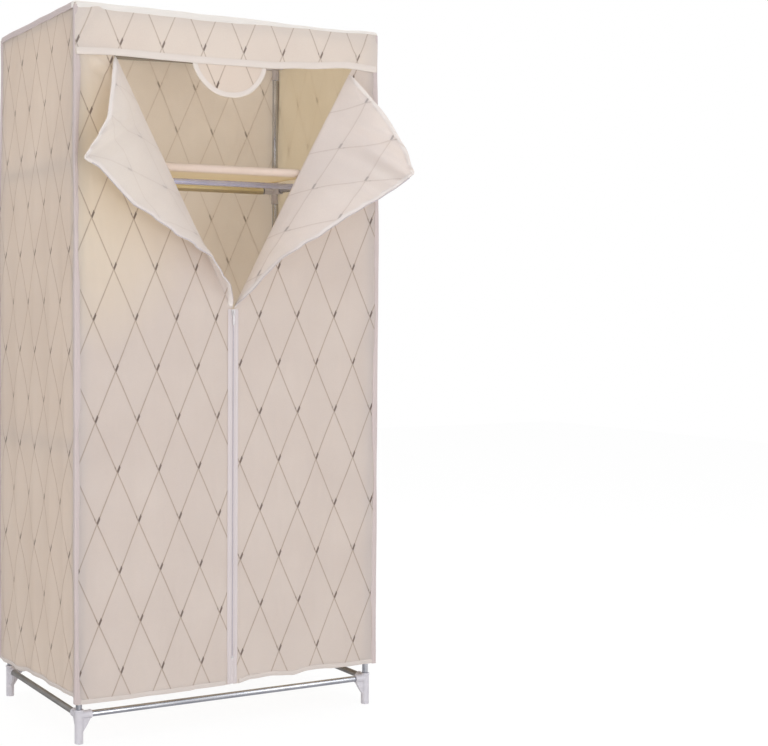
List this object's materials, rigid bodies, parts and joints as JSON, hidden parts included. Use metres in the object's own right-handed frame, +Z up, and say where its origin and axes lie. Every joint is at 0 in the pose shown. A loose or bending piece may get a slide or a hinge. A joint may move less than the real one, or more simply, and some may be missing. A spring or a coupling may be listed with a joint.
{
  "type": "portable fabric wardrobe",
  "caption": "Free-standing clothes wardrobe: a push-fit tube frame with a cloth shelf and hanging rail, under a zipped fabric cover whose top front corners fold back.",
  "frame": {"origin": "on the floor, under the middle of the whole object; the folded-back flaps reach out of the front, so the frame stands 64 mm behind it", "axes": "+X to the right as seen from the front, -Y out of the zipped front, +Z up"},
  "size_m": [0.8332, 0.6114, 1.6],
  "materials": {
    "steel_tube": "thin drawn steel tube with a bright zinc finish",
    "connector_plastic": "moulded translucent white plastic, satin",
    "cover_fabric": "matt beige non-woven cloth printed with a fine brown diamond lattice",
    "shelf_fabric": "plain cream non-woven cloth, matt",
    "zip_tape": "white woven tape with a nylon coil",
    "zip_metal": "white paint on die-cast zinc"
  },
  "bodies": {
    "frame": {"upright_lower_front_left": "steel_tube", "upright_middle_front_left": "steel_tube", "upright_upper_front_left": "steel_tube", "upright_lower_front_right": "steel_tube", "upright_middle_front_right": "steel_tube", "upright_upper_front_right": "steel_tube", "upright_lower_back_left": "steel_tube", "upright_middle_back_left": "steel_tube", "upright_upper_back_left": "steel_tube", "upright_lower_back_right": "steel_tube", "upright_middle_back_right": "steel_tube", "upright_upper_back_right": "steel_tube", "bottom_bar_front": "steel_tube", "bottom_bar_back": "steel_tube", "shelf_bar_front": "steel_tube", "shelf_bar_back": "steel_tube", "top_bar_front": "steel_tube", "top_bar_back": "steel_tube", "bottom_bar_left": "steel_tube", "bottom_bar_right": "steel_tube", "shelf_bar_left": "steel_tube", "shelf_bar_right": "steel_tube", "top_bar_left": "steel_tube", "top_bar_right": "steel_tube", "brace_bar_left": "steel_tube", "brace_bar_right": "steel_tube", "hanging_rail": "steel_tube", "top_corner_front_left": "connector_plastic", "top_corner_front_right": "connector_plastic", "top_corner_back_left": "connector_plastic", "top_corner_back_right": "connector_plastic", "shelf_joint_front_left": "connector_plastic", "shelf_joint_front_right": "connector_plastic", "shelf_joint_back_left": "connector_plastic", "shelf_joint_back_right": "connector_plastic", "brace_tee_front_left": "connector_plastic", "brace_tee_front_right": "connector_plastic", "brace_tee_back_left": "connector_plastic", "brace_tee_back_right": "connector_plastic", "foot_front_left": "connector_plastic", "foot_front_right": "connector_plastic", "foot_back_left": "connector_plastic", "foot_back_right": "connector_plastic", "rail_clip_left": "connector_plastic", "rail_clip_right": "connector_plastic", "shelf_cloth": "shelf_fabric"},
    "cover": {"cover_back": "cover_fabric", "cover_left_side": "cover_fabric", "cover_right_side": "cover_fabric", "cover_roof": "cover_fabric", "cover_valance": "cover_fabric", "cover_left_door": "cover_fabric", "cover_right_door": "cover_fabric", "zip_left_half": "zip_tape", "zip_right_half": "zip_tape", "zip_bottom_stop": "zip_metal"},
    "left_flap": {"cover_left_flap": "cover_fabric"},
    "right_flap": {"cover_right_flap": "cover_fabric"},
    "zip_slider": {"zip_slider": "zip_metal"},
    "zip_pull": {"zip_pull": "zip_metal"}
  },
  "joints": [
    {"name": "cover_lift", "type": "slide", "parent": "frame", "child": "cover", "axis": [0, 0, 1], "range_m": [0, 1.6]},
    {"name": "left_flap_fold", "type": "hinge", "parent": "cover", "child": "left_flap", "pos_m": [0, -0.17427, 0.9477], "axis": [-0.4718, 0, 0.8817], "range_deg": [0, 135]},
    {"name": "right_flap_fold", "type": "hinge", "parent": "cover", "child": "right_flap", "pos_m": [0, -0.17427, 0.9477], "axis": [-0.4718, 0, -0.8817], "range_deg": [0, 135]},
    {"name": "zip_run", "type": "slide", "parent": "cover", "child": "zip_slider", "axis": [0, 0, -1], "range_m": [0, 0.776]},
    {"name": "pull_swing", "type": "hinge", "parent": "zip_slider", "child": "zip_pull", "pos_m": [0, -0.17882, 0.9402], "axis": [-1, 0, 0], "range_deg": [0, 170]}
  ]
}
